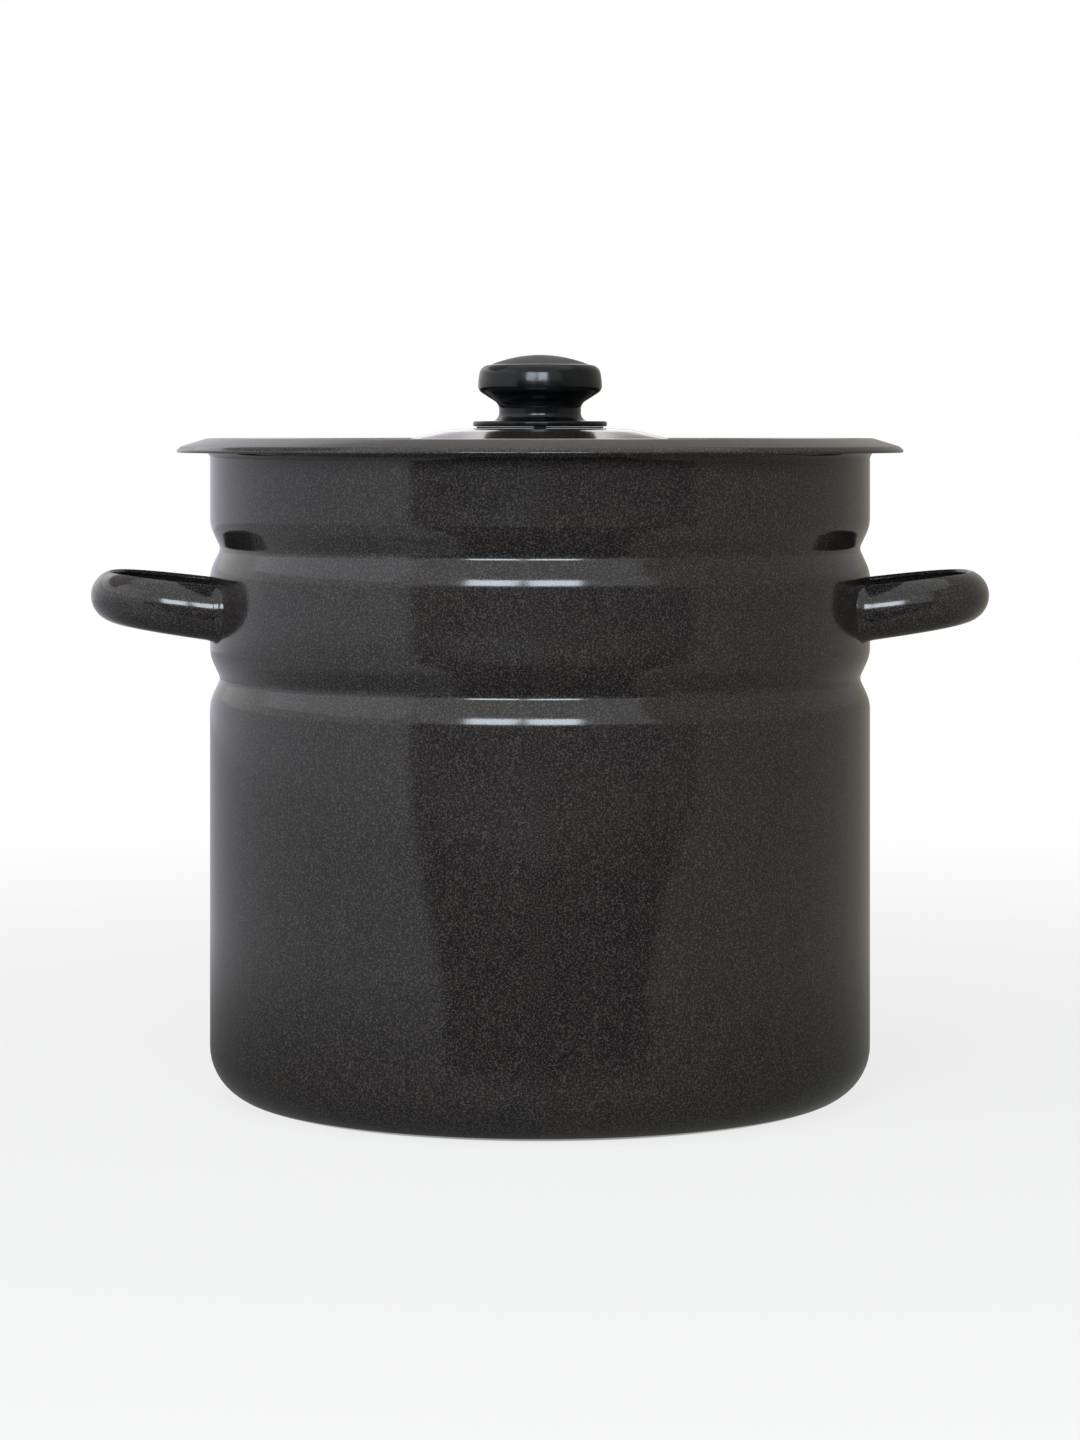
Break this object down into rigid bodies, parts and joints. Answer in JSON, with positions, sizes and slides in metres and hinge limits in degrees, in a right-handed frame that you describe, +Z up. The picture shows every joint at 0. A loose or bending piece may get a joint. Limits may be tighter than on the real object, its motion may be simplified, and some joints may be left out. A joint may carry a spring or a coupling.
{
  "type": "cooking pot",
  "caption": "Tall enamelled steel stockpot with rolled beads round the wall, welded loop handles and a loose flanged lid with a black knob.",
  "frame": {"origin": "centre of the standing ring, on the surface the pot stands on", "axes": "+Z up along the pot's axis, +X through the right handle, -Y towards the viewer of the picture"},
  "size_m": [0.3536, 0.285, 0.2917],
  "materials": {
    "enamel": "glossy grey-brown vitreous enamel with a fine light speckle",
    "phenolic": "black moulded phenolic, satin to glossy",
    "fibre": "dark heat-resistant fibre",
    "zinc_steel": "zinc-plated steel",
    "brass": "turned brass"
  },
  "bodies": {
    "pot": {"pot_body": "enamel", "left_handle": "enamel", "right_handle": "enamel"},
    "lid": {"lid": "enamel", "knob": "phenolic", "knob_insert": "brass", "knob_gasket": "fibre", "knob_screw": "zinc_steel", "flat_washer": "zinc_steel", "spring_washer": "zinc_steel"}
  },
  "joints": [
    {"name": "lid_lift", "type": "slide", "parent": "pot", "child": "lid", "axis": [0, 0, 1], "range_m": [0, 0.3]}
  ]
}
